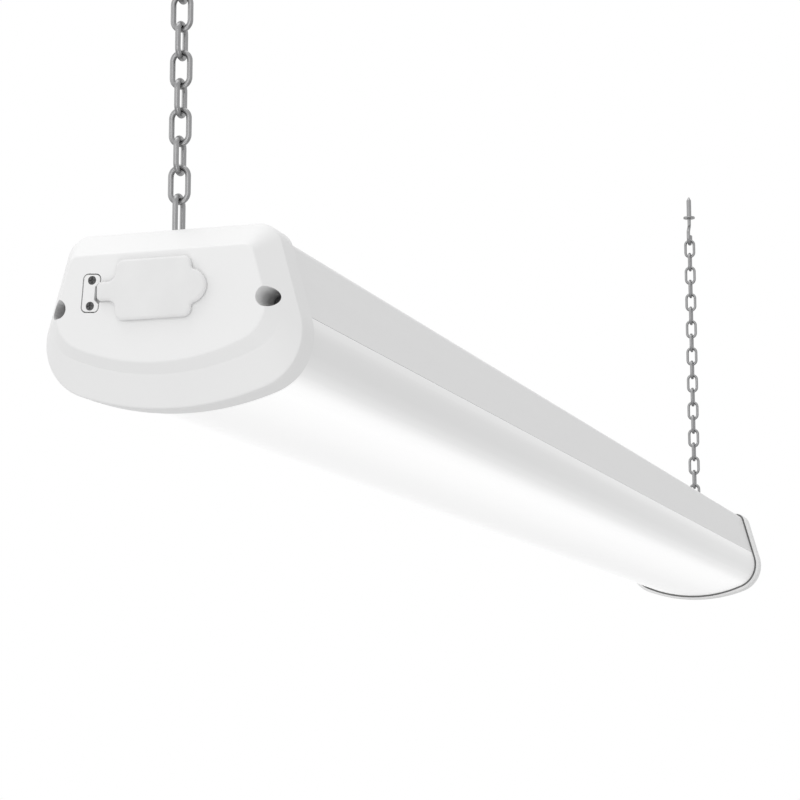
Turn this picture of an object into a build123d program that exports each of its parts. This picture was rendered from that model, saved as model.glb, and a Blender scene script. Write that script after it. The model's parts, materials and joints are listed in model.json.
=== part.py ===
from build123d import *
import math
import os

# Linkable LED light bar, hung from the ceiling on two chains.
# Millimetres. X runs along the bar, from the outlet end at -X to the cord end at +X. Z is up.
# Parts are drawn with Z = 0 at the lowest point of the end caps. save() then lowers them so that
# the origin lies on the ceiling, midway between the two ceiling hooks.

# Body: housing above the seam, lens below it
BODY_LENGTH = 1100.0
BODY_HALF_WIDTH = 51.6
BODY_TOP = 69.9
BODY_BOTTOM = 2.6
BODY_TOP_RADIUS = 4.5
BODY_CORNER_RADIUS = 19.5
BODY_CROWN_RADIUS = 102.0
FLANK_LEAN = 15.4
SEAM_Z = 38.2
SEAM_GAP = 0.2
HOUSING_WALL = 1.1
LENS_WALL = 1.6

# End caps
CAP_LIP = 3.4
CAP_HEIGHT = 72.1
CAP_TOP_RADIUS = 10.0
CAP_CORNER_RADIUS = 23.0
CAP_CROWN_RADIUS = 119.5
CAP_SKIRT = 14.0
CAP_NOSE = 13.0
FACE_WALL = 3.0
FACE_INSET = 10.7
FACE_TOP = 60.9
FACE_BOTTOM = 16.5
FACE_CORNER_RADIUS = 15.0
FACE_CROWN_RADIUS = 89.5
FACE_TOP_RADIUS = 4.0
BAND_DEPTH = 5.0
BAND_BOTTOM = 12.5
BAND_CORNER_RADIUS = 15.0
BAND_CROWN_RADIUS = 100.0
CREASE_ROUND = 1.2
SKIRT_ROUND = 1.5
RIM_ROUND = 0.5
SEAL_THICKNESS = 1.4
SEAL_CLEARANCE = 0.05
BODY_INSERT = 3.0
END_GAP = 0.2
SHOULDER = 2.5
THROAT_REACH = 1.4

# Gear tray and the screws that hold the caps to it
PORT_INSET = 7.2
PORT_Z = 40.0
PORT_RADIUS = 2.9
PORT_HOLE = 1.7
TRAY_WALL = 1.4
TRAY_INSET = 5.4
RAIL_INSET = 14.2
RAIL_WALL = 1.2
RAIL_DROP = 8.2
RAIL_FOOT = 3.0
SHELF_INSET = 13.6
SHELF_WALL = 1.2
LENS_LEDGE = 1.4
CAP_SCREW_BORE = 4.1
CAP_SCREW_HEAD = 3.4
CAP_SCREW_SHANK = 1.65
CAP_SCREW_LENGTH = 29.0
CAP_SCREW_POST = 5.5
CAP_SCREW_SEAT_WALL = 3.0

# Outlet end: receptacle, cover and its anchor
OUTLET_Y = 2.0
OUTLET_Z = 45.6
APERTURE_WIDTH = 27.4
APERTURE_HEIGHT = 20.4
RECEPTACLE_FLANGE = 1.0
RECEPTACLE_DEPTH = 15.0
BLADE_SPACING = 12.7
GROUND_OFFSET = 11.9
COVER_WIDTH = 32.3
COVER_HEIGHT = 24.3
COVER_THICKNESS = 2.5
COVER_CORNER = 3.5
COVER_EDGE = 0.7
COVER_LIFT = 0.2
TAB_RADIUS = 6.8
TAB_REACH = 6.3
TAB_ROUND = 1.6
STRAP_WIDTH = 7.6
STRAP_THICKNESS = 1.6
STRAP_ROUND = 3.0
STRAP_END_GAP = 1.5
STRAP_END_CUT = 1.3
COVER_HINGE_Y = 21.2
ANCHOR_Y = 29.4
ANCHOR_WIDTH = 6.9
ANCHOR_HEIGHT = 14.9
ANCHOR_LEAN = 4.0
ANCHOR_NOTCH = 1.9
ANCHOR_NOTCH_HEIGHT = 8.8
ANCHOR_NOTCH_SLANT = 1.7
ANCHOR_WALL = 1.6
ANCHOR_GAP = 0.5
ANCHOR_SCREW_SPACING = 10.4

# Cord end: gland
GLAND_BORE = 4.0
GLAND_BARREL = 8.0
GLAND_FLANGE = 10.0
GLAND_FLANGE_WALL = 3.0
GLAND_LENGTH = 14.0

# Suspension
CHAIN_WIRE = 2.3
LINK_WIDTH = 9.8
LINK_PITCH = 12.0
LINK_COUNT = 19
LINK_GAP = 0.1
LOOP_WIRE = 2.3
LOOP_RISE = 16.0
LOOP_OUTBOARD = 9.0
HOOK_WIRE = 3.0
HOOK_CUP = 5.0
HOOK_NECK = 19.0
HOOK_COLLAR = 5.0
STUD_RADIUS = 2.0
STUD_LENGTH = 18.0

# Light engine
BOARD_WIDTH = 16.0
BOARD_WALL = 1.0
BOARD_ROW_Y = 20.0
BOARD_GAP = 10.0
BOARD_END_MARGIN = 8.0
CHIP_PITCH = 22.0
CHIP_LENGTH = 3.5
CHIP_WIDTH = 2.8
CHIP_HEIGHT = 0.8
SENSOR_LENGTH = 50.0
SENSOR_WIDTH = 22.0

# Driver and wiring
DRIVER_START = 30.0
DRIVER_LENGTH = 240.0
DRIVER_CLEARANCE = 2.0
DRIVER_HEIGHT = 23.0
DRIVER_WALL = 1.2
TERMINAL_INSET = 80.0
WIRE_RADIUS = 1.4
WIRE_BEND = 6.0
WIRE_ENTRY = 6.0
WIRE_STRAIGHT = 20.0
WIRE_SIDESTEP = 28.0
WIRE_DROP = 26.0
TAIL_STRAIGHT = 16.0
SUPPLY_STRAIGHT = 30.0
SUPPLY_REACH = 40.0
LANE_PITCH = 4.0
LANE_CLEARANCE = 5.0
CLIP_COUNT = 4
CLIP_WIDTH = 8.0
BOND_SETBACK = 28.0
GROMMET_X = -62.0

# Places that follow from the sizes above
CAP_HALF_WIDTH = BODY_HALF_WIDTH + CAP_LIP
FACE_HALF_WIDTH = CAP_HALF_WIDTH - FACE_INSET
BAND_SHARE = BAND_DEPTH / CAP_NOSE
BAND_HALF_WIDTH = FACE_HALF_WIDTH + FACE_INSET * BAND_SHARE
BAND_TOP = FACE_TOP + (CAP_HEIGHT - FACE_TOP) * BAND_SHARE
BAND_TOP_RADIUS = FACE_TOP_RADIUS + (CAP_TOP_RADIUS - FACE_TOP_RADIUS) * BAND_SHARE
PORT_Y = BODY_HALF_WIDTH - PORT_INSET
TRAY_EDGE = BODY_HALF_WIDTH - TRAY_INSET
RAIL_Y = BODY_HALF_WIDTH - RAIL_INSET
SHELF_REACH = BODY_HALF_WIDTH - SHELF_INSET
DRIVER_WIDTH = SHELF_REACH - DRIVER_CLEARANCE
TERMINAL_X = BODY_LENGTH / 2 - TERMINAL_INSET
CHIPS_PER_BOARD = int((BODY_LENGTH / 2 - BOARD_END_MARGIN - BOARD_GAP / 2) / CHIP_PITCH)
RIM_X = -BODY_LENGTH / 2
BODY_END = BODY_LENGTH / 2 + BODY_INSERT
SHOULDER_X = RIM_X - BODY_INSERT - END_GAP
CAP_SCREW_SEAT = SHOULDER_X - CAP_SCREW_SEAT_WALL
NOSE_X = RIM_X - CAP_SKIRT
FACE_X = NOSE_X - CAP_NOSE
BAND_X = FACE_X + BAND_DEPTH
TRAY_TOP = PORT_Z + PORT_RADIUS + 0.2
TRAY_UNDER = TRAY_TOP - TRAY_WALL
RAIL_FOOT_Z = TRAY_UNDER - RAIL_DROP
LOOP_X = RIM_X - LOOP_OUTBOARD
LOOP_RADIUS = (LINK_WIDTH - CHAIN_WIRE) / 2
LOOP_TOP_Z = CAP_HEIGHT + LOOP_RISE - LOOP_WIRE / 2
LINK_RADIUS = (LINK_WIDTH - CHAIN_WIRE) / 2
LINK_SPAN = LINK_PITCH + CHAIN_WIRE + LINK_GAP
FIRST_LINK_Z = LOOP_TOP_Z - LOOP_WIRE / 2 - CHAIN_WIRE / 2 - LINK_GAP
TOP_LINK_Z = FIRST_LINK_Z + (LINK_COUNT - 1) * LINK_PITCH
HOOK_Z = TOP_LINK_Z + LINK_SPAN - CHAIN_WIRE / 2 - HOOK_WIRE / 2 - LINK_GAP
CEILING_Z = HOOK_Z + HOOK_CUP + HOOK_NECK
COVER_BACK_X = FACE_X - COVER_LIFT
COVER_FRONT_X = COVER_BACK_X - COVER_THICKNESS
STRAP_BACK_X = COVER_FRONT_X + STRAP_THICKNESS
COVER_HINGE_X = COVER_FRONT_X + STRAP_THICKNESS / 2
CHIP_Z = TRAY_UNDER - BOARD_WALL - CHIP_HEIGHT


# Helpers
class Outline:
    """A cross-section of the bar: flat top, leaning sides, round lower corners, crowned bottom."""

    def __init__(self, half_width, top, bottom, top_radius, corner_radius, crown_radius):
        self.half_width = half_width
        self.top = top
        self.bottom = bottom
        self.top_radius = top_radius
        self.corner_radius = corner_radius
        self.crown_radius = crown_radius

    def wire(self, x, grow=0.0):
        """The closed outline in the plane X = x, moved outwards all round by grow."""
        lean = math.radians(FLANK_LEAN)
        half = self.half_width + grow
        top = self.top + grow
        bottom = self.bottom - grow
        corner = self.corner_radius + grow
        crown = self.crown_radius + grow
        round_top = max(self.top_radius + grow, 0.4)

        corner_y = half - corner
        crown_z = bottom + crown
        corner_z = crown_z - math.sqrt((crown - corner) ** 2 - corner_y ** 2)
        crown_angle = math.atan2(corner_z - crown_z, corner_y)
        crown_end = (crown * math.cos(crown_angle), crown_z + crown * math.sin(crown_angle))
        middle = (crown_angle + lean) / 2
        corner_middle = (corner_y + corner * math.cos(middle), corner_z + corner * math.sin(middle))
        flank_low = (corner_y + corner * math.cos(lean), corner_z + corner * math.sin(lean))

        sharp_y = flank_low[0] - (top - flank_low[1]) * math.tan(lean)
        tangent = round_top * math.tan((math.pi / 2 - lean) / 2)
        flank_high = (sharp_y + tangent * math.sin(lean), top - tangent * math.cos(lean))
        top_end = (sharp_y - tangent, top)
        centre = (top_end[0], top - round_top)
        middle = (lean + math.pi / 2) / 2
        top_middle = (centre[0] + round_top * math.cos(middle), centre[1] + round_top * math.sin(middle))

        def right(point):
            return Vector(x, -point[0], point[1])

        def left(point):
            return Vector(x, point[0], point[1])

        edges = [
            Edge.make_line(left(top_end), right(top_end)),
            Edge.make_three_point_arc(right(top_end), right(top_middle), right(flank_high)),
            Edge.make_line(right(flank_high), right(flank_low)),
            Edge.make_three_point_arc(right(flank_low), right(corner_middle), right(crown_end)),
            Edge.make_three_point_arc(right(crown_end), Vector(x, 0, bottom), left(crown_end)),
            Edge.make_three_point_arc(left(crown_end), left(corner_middle), left(flank_low)),
            Edge.make_line(left(flank_low), left(flank_high)),
            Edge.make_three_point_arc(left(flank_high), left(top_middle), left(top_end)),
        ]
        return Wire(edges)

    def prism(self, x0, x1, grow=0.0):
        """The outline drawn out along X from x0 to x1."""
        return extrude(Face(self.wire(x0, grow)), amount=x1 - x0, dir=(1, 0, 0))


BODY = Outline(BODY_HALF_WIDTH, BODY_TOP, BODY_BOTTOM, BODY_TOP_RADIUS,
               BODY_CORNER_RADIUS, BODY_CROWN_RADIUS)
RIM = Outline(CAP_HALF_WIDTH, CAP_HEIGHT, 0.0, CAP_TOP_RADIUS, CAP_CORNER_RADIUS, CAP_CROWN_RADIUS)
BAND = Outline(BAND_HALF_WIDTH, BAND_TOP, BAND_BOTTOM, BAND_TOP_RADIUS,
               BAND_CORNER_RADIUS, BAND_CROWN_RADIUS)
FACE = Outline(FACE_HALF_WIDTH, FACE_TOP, FACE_BOTTOM, FACE_TOP_RADIUS,
               FACE_CORNER_RADIUS, FACE_CROWN_RADIUS)


def block(x0, x1, y0, y1, z0, z1):
    """A box between two corners."""
    middle = Pos((x0 + x1) / 2, (y0 + y1) / 2, (z0 + z1) / 2)
    return middle * Box(abs(x1 - x0), abs(y1 - y0), abs(z1 - z0))


def rod_x(x0, x1, y, z, radius):
    """A round bar along X."""
    return Pos((x0 + x1) / 2, y, z) * Rot(0, 90, 0) * Cylinder(radius, abs(x1 - x0))


def rod_z(x, y, z0, z1, radius):
    """A round bar along Z."""
    return Pos(x, y, (z0 + z1) / 2) * Cylinder(radius, abs(z1 - z0))


def slab_x(sketch, x0, x1):
    """A sketch drawn in Y and Z, given depth from x0 to x1."""
    return extrude(Plane(origin=(x0, 0, 0), x_dir=(0, 1, 0), z_dir=(1, 0, 0)) * sketch, amount=x1 - x0)


def both_sides(shape):
    """The shape and its mirror image across the bar."""
    return shape + mirror(shape, about=Plane.XZ)


def other_end(shape):
    """The same part turned round for the cord end."""
    return Rot(0, 0, 180) * shape


def wire_run(points, radius, bend=WIRE_BEND):
    """A round wire through the points, with its corners bent to the given radius."""
    path = Wire(FilletPolyline(*points, radius=bend).edges())
    start = Vector(*points[0])
    heading = Vector(*points[1]) - start
    section = Face(Wire.make_circle(radius, Plane(origin=start, z_dir=heading)))
    return Solid.sweep(section, path)


def screw_down(x, y, head_top, head_radius, head_height, shank_radius, shank_end):
    """A pan-head screw with its head up."""
    head = rod_z(x, y, head_top - head_height, head_top, head_radius)
    return head + rod_z(x, y, shank_end, head_top - head_height, shank_radius)


def solids_of(shapes):
    """Every solid in a list of shapes."""
    return [solid for shape in shapes for solid in shape.solids()]


def save(name, *shapes):
    """Write one node, lowered so that the ceiling is at Z = 0."""
    lowered = [Pos(0, 0, -CEILING_Z) * solid for solid in solids_of(shapes)]
    whole = lowered[0] if len(lowered) == 1 else Compound(children=lowered)
    export_step(whole, f"parts/{name}.step")


# Suspension: hooks, chain links, hanger loops
def chain_link(z_low, turned):
    """One link standing on z_low, its lower wire centre. A turned link lies along the bar."""
    low = Vector(0, 0, z_low + LINK_RADIUS)
    high = Vector(0, 0, z_low + LINK_SPAN - LINK_RADIUS)
    radius = CHAIN_WIRE / 2
    reach = LINK_WIDTH
    ring = Rot(0, 90, 0) * Torus(LINK_RADIUS, radius)
    upper = ring & block(-reach, reach, -reach, reach, 0, reach)
    lower = ring & block(-reach, reach, -reach, reach, -reach, 0)
    link = Pos(high) * upper + Pos(low) * lower
    for side in (-1, 1):
        link += rod_z(0, side * LINK_RADIUS, low.Z, high.Z, radius)
    return Rot(0, 0, 90 if turned else 0) * link


def ceiling_hook():
    """A screw hook: plain shank above the ceiling, collar below it, then an open cup."""
    radius = HOOK_WIRE / 2
    cup_z = HOOK_Z + HOOK_CUP
    path_points = [
        (0, 0, CEILING_Z),
        (0, 0, cup_z + HOOK_CUP + 6),
        (HOOK_CUP, 0, cup_z + HOOK_CUP),
        (HOOK_CUP, 0, HOOK_Z),
        (-HOOK_CUP, 0, HOOK_Z),
        (-HOOK_CUP, 0, cup_z + HOOK_CUP / 2),
    ]
    bends = [HOOK_WIRE, HOOK_WIRE, HOOK_CUP * 0.98, HOOK_CUP * 0.98]
    hook = Part() + wire_run(path_points, radius, bends)
    hook += Pos(-HOOK_CUP, 0, cup_z + HOOK_CUP / 2) * Sphere(radius)
    hook += rod_z(0, 0, CEILING_Z - 1.2, CEILING_Z, HOOK_COLLAR)
    hook += rod_z(0, 0, CEILING_Z, CEILING_Z + STUD_LENGTH - 3, STUD_RADIUS)
    hook += Pos(0, 0, CEILING_Z + STUD_LENGTH - 1.5) * Cone(STUD_RADIUS, 0.4, 3)
    return hook


HANGER_PLATE_WALL = 1.5
HANGER_NUT_HEIGHT = 2.0
HANGER_CEILING = BODY_TOP - SHOULDER
HANGER_FOOT = HANGER_CEILING - HANGER_PLATE_WALL - HANGER_NUT_HEIGHT - 1.0


def hanger_loop():
    """A wire staple that stands up from the cap; its legs go through the top wall."""
    radius = LOOP_WIRE / 2
    arch_z = LOOP_TOP_Z - LOOP_RADIUS
    size = LINK_WIDTH
    arch = Rot(90, 0, 0) * Torus(LOOP_RADIUS, radius)
    loop = Pos(0, 0, arch_z) * (arch & block(-size, size, -size, size, 0, size))
    for side in (-1, 1):
        loop += rod_z(side * LOOP_RADIUS, 0, HANGER_FOOT, arch_z, radius)
    return Pos(LOOP_X, 0, 0) * loop


def hanger_plate():
    """The steel strip under the cap's top wall that spreads the load of the loop."""
    top = HANGER_CEILING
    half = LOOP_RADIUS + 2.2
    plate = block(-half, half, -6, 6, top - HANGER_PLATE_WALL, top)
    for side in (-1, 1):
        plate -= rod_z(side * LOOP_RADIUS, 0, top - 5, top + 5, LOOP_WIRE / 2 + 0.1)
    return Pos(LOOP_X, 0, 0) * plate


def hanger_nuts():
    """Two hexagon nuts on the ends of the loop's legs."""
    nuts = []
    for side in (-1, 1):
        nut = extrude(RegularPolygon(2.9, 6, rotation=30), amount=HANGER_NUT_HEIGHT)
        nut -= Cylinder(LOOP_WIRE / 2 + 0.05, 12)
        z = HANGER_CEILING - HANGER_PLATE_WALL - HANGER_NUT_HEIGHT
        nuts.append(Pos(LOOP_X + side * LOOP_RADIUS, 0, z) * nut)
    return nuts


# Long extrusions
def housing_channel():
    """The painted channel: top, leaning sides and a shelf that rests on the tray."""
    shell = BODY.prism(-BODY_END, BODY_END) - BODY.prism(-BODY_END - 1, BODY_END + 1, -HOUSING_WALL)
    reach = BODY_HALF_WIDTH + 5
    shell &= block(-BODY_END, BODY_END, -reach, reach, SEAM_Z, BODY_TOP + 5)
    shelf = block(-BODY_END, BODY_END, SHELF_REACH, reach, TRAY_TOP, TRAY_TOP + SHELF_WALL)
    shelf &= BODY.prism(-BODY_END, BODY_END, -HOUSING_WALL / 2)
    return shell + both_sides(shelf)


def diffuser_lens():
    """The frosted lower half; inward ledges hang it on the tray's rails."""
    shell = BODY.prism(-BODY_END, BODY_END) - BODY.prism(-BODY_END - 1, BODY_END + 1, -LENS_WALL)
    reach = BODY_HALF_WIDTH + 5
    shell &= block(-BODY_END, BODY_END, -reach, reach, 0, SEAM_Z - SEAM_GAP)
    ledge_y = RAIL_Y + RAIL_WALL + 0.3
    ledge_z = RAIL_FOOT_Z + RAIL_WALL + 0.2
    ledge = block(-BODY_END, BODY_END, ledge_y, reach, ledge_z, ledge_z + LENS_LEDGE)
    ledge &= BODY.prism(-BODY_END, BODY_END, -LENS_WALL / 2)
    return shell + both_sides(ledge)


def board_screw_places():
    """X of the screws of one outer-to-centre board, between its chips."""
    first = chip_places()[0]
    steps = (0, CHIPS_PER_BOARD // 2 - 1, CHIPS_PER_BOARD - 2)
    return [first + CHIP_PITCH * (step + 0.5) for step in steps]


def chip_places():
    """X of the chips of the board on the outlet half of the bar."""
    last = -BOARD_GAP / 2 - CHIP_PITCH
    return [last - CHIP_PITCH * step for step in range(CHIPS_PER_BOARD)][::-1]


def driver_screw_places():
    """X of the two screws through the driver's feet."""
    return [DRIVER_START - 4, DRIVER_START + DRIVER_LENGTH + 4]


DRIVER_Y = 0.0
LEAD_GROMMET = (GROMMET_X, 0.0)
LEAD_GROMMET_HOLE = 5.0
SENSOR_GROMMET = (45.0, -6.5)
SENSOR_GROMMET_HOLE = 3.0
BOND_PLACE = (TERMINAL_X - BOND_SETBACK, SHELF_REACH - 4)


def gear_tray():
    """The spine of the bar: a plate with screw ports along its edges and rails for the lens."""
    plate = block(-BODY_END, BODY_END, -TRAY_EDGE, TRAY_EDGE, TRAY_UNDER, TRAY_TOP)
    port = rod_x(-BODY_END, BODY_END, PORT_Y, PORT_Z, PORT_RADIUS)
    leg = block(-BODY_END, BODY_END, RAIL_Y, RAIL_Y + RAIL_WALL, RAIL_FOOT_Z, TRAY_UNDER)
    foot = block(-BODY_END, BODY_END, RAIL_Y, RAIL_Y + RAIL_WALL + RAIL_FOOT, RAIL_FOOT_Z,
                 RAIL_FOOT_Z + RAIL_WALL)
    tray = plate + both_sides(port) + both_sides(leg + foot)
    tray -= both_sides(rod_x(-BODY_END - 1, BODY_END + 1, PORT_Y, PORT_Z, PORT_HOLE))
    holes = []
    for x in board_screw_places():
        for end in (-1, 1):
            for row in (-1, 1):
                holes.append(rod_z(end * x, row * BOARD_ROW_Y, TRAY_UNDER - 1, TRAY_TOP + 1, 1.3))
    for x in driver_screw_places():
        holes.append(rod_z(x, DRIVER_Y + DRIVER_WIDTH / 2, TRAY_UNDER - 1, TRAY_TOP + 1, 1.3))
    holes.append(rod_z(*LEAD_GROMMET, TRAY_UNDER - 1, TRAY_TOP + 1, LEAD_GROMMET_HOLE))
    holes.append(rod_z(*SENSOR_GROMMET, TRAY_UNDER - 1, TRAY_TOP + 1, SENSOR_GROMMET_HOLE))
    holes.append(rod_z(*BOND_PLACE, TRAY_UNDER - 1, TRAY_TOP + 1, 1.6))
    for hole in holes:
        tray -= hole
    return tray


# End caps
def cap_shell():
    """The cap without its end's own openings: skirt, nose, hollow inside and screw posts."""
    skirt = RIM.prism(NOSE_X, RIM_X)
    nose = Solid.make_loft([RIM.wire(NOSE_X), BAND.wire(BAND_X), FACE.wire(FACE_X)], ruled=True)
    shell = skirt + nose
    creases = [edge for edge in shell.edges() if abs(edge.center().X - FACE_X) < 0.01]
    shell = fillet(creases, CREASE_ROUND)
    shoulders = [edge for edge in shell.edges()
                 if abs(edge.bounding_box().min.X - NOSE_X) < 0.01
                 and abs(edge.bounding_box().max.X - NOSE_X) < 0.01]
    shell = fillet(shoulders, SKIRT_ROUND)
    rim = [edge for edge in shell.edges() if abs(edge.center().X - RIM_X) < 0.01]
    shell = fillet(rim, RIM_ROUND)

    throat = BODY.prism(NOSE_X - THROAT_REACH, SHOULDER_X, -SHOULDER)
    nose_hollow = FACE.prism(FACE_X + FACE_WALL, NOSE_X, -FACE_WALL)
    hollow = throat + nose_hollow
    post = rod_x(FACE_X, SHOULDER_X, PORT_Y, PORT_Z, CAP_SCREW_POST)
    hollow -= both_sides(post)
    shell -= BODY.prism(SHOULDER_X, RIM_X + 1, SEAL_THICKNESS)
    shell -= hollow
    shell -= both_sides(rod_x(FACE_X - 1, CAP_SCREW_SEAT, PORT_Y, PORT_Z, CAP_SCREW_BORE))
    shank_hole = CAP_SCREW_SHANK + 0.4
    shell -= both_sides(rod_x(CAP_SCREW_SEAT - 1, SHOULDER_X + 1, PORT_Y, PORT_Z, shank_hole))
    for side in (-1, 1):
        shell -= rod_z(LOOP_X + side * LOOP_RADIUS, 0, HANGER_CEILING - 1, CAP_HEIGHT + 1,
                       LOOP_WIRE / 2 + 0.15)
    return shell


def cap_seal():
    """The dark ring between the body and the cap's mouth."""
    x0 = SHOULDER_X + SEAL_CLEARANCE
    ring = BODY.prism(x0, RIM_X, SEAL_THICKNESS - SEAL_CLEARANCE)
    return ring - BODY.prism(x0 - 1, RIM_X + 1, SEAL_CLEARANCE)


def cap_screws():
    """Two long screws from the cap's bores into the tray's ports."""
    seat_x = CAP_SCREW_SEAT
    screws = []
    for side in (-1, 1):
        head = rod_x(seat_x - 2.6, seat_x, side * PORT_Y, PORT_Z, CAP_SCREW_HEAD)
        recess = rod_x(seat_x - 3, seat_x - 1.2, side * PORT_Y, PORT_Z, 0.8)
        shank = rod_x(seat_x, seat_x + CAP_SCREW_LENGTH, side * PORT_Y, PORT_Z, CAP_SCREW_SHANK)
        slot_a = Pos(seat_x - 2.1, side * PORT_Y, PORT_Z) * Box(1.8, 3.6, 0.8)
        slot_b = Pos(seat_x - 2.1, side * PORT_Y, PORT_Z) * Box(1.8, 0.8, 3.6)
        screws.append(head + shank - recess - slot_a - slot_b)
    return screws


ANCHOR_NOTCH_Y = ANCHOR_Y - ANCHOR_WIDTH / 2 + ANCHOR_NOTCH
ANCHOR_FLOOR_X = FACE_X + ANCHOR_WALL + STRAP_THICKNESS + 0.1
STRAP_END_Y = ANCHOR_NOTCH_Y - STRAP_END_GAP
STRAP_DROP_Y = STRAP_END_Y - STRAP_THICKNESS


def anchor_pocket_sketch(margin):
    """The leaning bar that the anchor plate fills, in Y and Z, with room around it."""
    bar = RectangleRounded(ANCHOR_WIDTH + 2 * margin, ANCHOR_HEIGHT + 2 * margin, 1.8 + margin)
    return Pos(ANCHOR_Y, OUTLET_Z) * Rot(0, 0, ANCHOR_LEAN) * bar


def anchor_plate_sketch():
    """The anchor plate's shape in Y and Z: the bar with a slanted notch for the strap's end."""
    mouth = ANCHOR_NOTCH_HEIGHT / 2
    inner = -ANCHOR_WIDTH / 2
    floor = inner + ANCHOR_NOTCH
    notch = Polygon((inner, -mouth), (floor, ANCHOR_NOTCH_SLANT - mouth),
                    (floor, mouth - ANCHOR_NOTCH_SLANT), (inner, mouth), align=None)
    return anchor_pocket_sketch(0) - Pos(ANCHOR_Y, OUTLET_Z) * Rot(0, 0, ANCHOR_LEAN) * notch


def anchor_screw_places():
    """Y and Z of the two screws, on the plate's leaning middle line."""
    lean = math.radians(ANCHOR_LEAN)
    half = ANCHOR_SCREW_SPACING / 2
    return [(ANCHOR_Y - side * half * math.sin(lean), OUTLET_Z + side * half * math.cos(lean))
            for side in (-1, 1)]


def strap_end_sketch(start_y):
    """The strap from start_y to its end, in Y and Z, with its end corners cut off."""
    half = STRAP_WIDTH / 2
    shoulder_y = STRAP_END_Y - STRAP_END_CUT
    lower = [(start_y, -half), (shoulder_y, -half), (STRAP_END_Y, STRAP_END_CUT - half)]
    upper = [(y, -z) for y, z in reversed(lower)]
    return Pos(0, OUTLET_Z) * Polygon(*lower, *upper, align=None)


def outlet_end_cap():
    """The near cap: aperture for the receptacle and a pocket for the strap's anchor."""
    cap = cap_shell()
    backing = block(FACE_X + FACE_WALL - 0.5, ANCHOR_FLOOR_X + 6,
                    ANCHOR_Y - ANCHOR_WIDTH / 2 - 3, ANCHOR_Y + ANCHOR_WIDTH / 2 + 2,
                    OUTLET_Z - ANCHOR_HEIGHT / 2 - 3, OUTLET_Z + ANCHOR_HEIGHT / 2 + 3)
    cap += backing
    aperture = Pos(OUTLET_Y, OUTLET_Z) * RectangleRounded(APERTURE_WIDTH, APERTURE_HEIGHT, 2.5)
    cap -= slab_x(aperture, FACE_X - 1, FACE_X + FACE_WALL + 1)
    cap -= slab_x(anchor_pocket_sketch(ANCHOR_GAP), FACE_X - 1, ANCHOR_FLOOR_X)
    strap_way = block(FACE_X - 1, ANCHOR_FLOOR_X, STRAP_DROP_Y - 0.15, ANCHOR_Y,
                      OUTLET_Z - STRAP_WIDTH / 2 - 0.15, OUTLET_Z + STRAP_WIDTH / 2 + 0.15)
    cap -= strap_way
    for y, z in anchor_screw_places():
        cap -= rod_x(FACE_X, ANCHOR_FLOOR_X + 5, y, z, 0.95)
    return cap


def cord_end_cap():
    """The far cap: one round hole for the cord gland."""
    cap = cap_shell()
    cap -= rod_x(FACE_X - 1, FACE_X + FACE_WALL + 1, 0, OUTLET_Z, GLAND_BARREL + 0.1)
    return other_end(cap)


# Outlet end details
BLADE_Y = OUTLET_Y - 5.0
GROUND_Y = BLADE_Y + GROUND_OFFSET
RECEPTACLE_FRONT = FACE_X - RECEPTACLE_FLANGE
RECEPTACLE_REAR = FACE_X + RECEPTACLE_DEPTH
CHAMBER_START = FACE_X + 2.0
CHAMBER_END = RECEPTACLE_REAR - 1.5
CONTACT_LENGTH = 8.0
CONTACT_HEIGHT = 3.6
TAIL_END = RECEPTACLE_REAR + 4.0
RISER_X = RECEPTACLE_REAR + 0.2


def link_receptacle():
    """The three-pin socket that feeds the next bar."""
    flange = Pos(OUTLET_Y, OUTLET_Z) * RectangleRounded(APERTURE_WIDTH + 0.8, APERTURE_HEIGHT + 0.8, 2.5)
    core = Pos(OUTLET_Y, OUTLET_Z) * RectangleRounded(APERTURE_WIDTH - 0.4, APERTURE_HEIGHT - 0.4, 2.3)
    body = slab_x(flange, RECEPTACLE_FRONT, FACE_X) + slab_x(core, FACE_X, RECEPTACLE_REAR)
    for side in (-1, 1):
        edge_y = OUTLET_Y + side * (APERTURE_WIDTH - 0.4) / 2
        latch_x = FACE_X + FACE_WALL + 0.1
        body += block(latch_x, latch_x + 4, edge_y - side, edge_y + side * 1.2, OUTLET_Z - 4, OUTLET_Z + 4)
        blade_z = OUTLET_Z + side * BLADE_SPACING / 2
        body -= block(RECEPTACLE_FRONT - 1, CHAMBER_START, BLADE_Y - 4, BLADE_Y + 4, blade_z - 1, blade_z + 1)
        body -= block(CHAMBER_START, CHAMBER_END, BLADE_Y - CONTACT_LENGTH / 2 - 0.1,
                      BLADE_Y + CONTACT_LENGTH / 2 + 0.1, blade_z - CONTACT_HEIGHT / 2 - 0.1,
                      blade_z + CONTACT_HEIGHT / 2 + 0.1)
        body -= block(CHAMBER_END - 0.5, RECEPTACLE_REAR + 1, BLADE_Y - 1.6, BLADE_Y + 1.6,
                      blade_z - 0.6, blade_z + 0.6)
    body -= rod_x(RECEPTACLE_FRONT - 1, CHAMBER_START, GROUND_Y, OUTLET_Z, 2.7)
    body -= rod_x(CHAMBER_START, CHAMBER_END, GROUND_Y, OUTLET_Z, 3.6)
    body -= block(CHAMBER_END - 0.5, RECEPTACLE_REAR + 1, GROUND_Y - 1.6, GROUND_Y + 1.6,
                  OUTLET_Z - 0.6, OUTLET_Z + 0.6)
    return body


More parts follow.
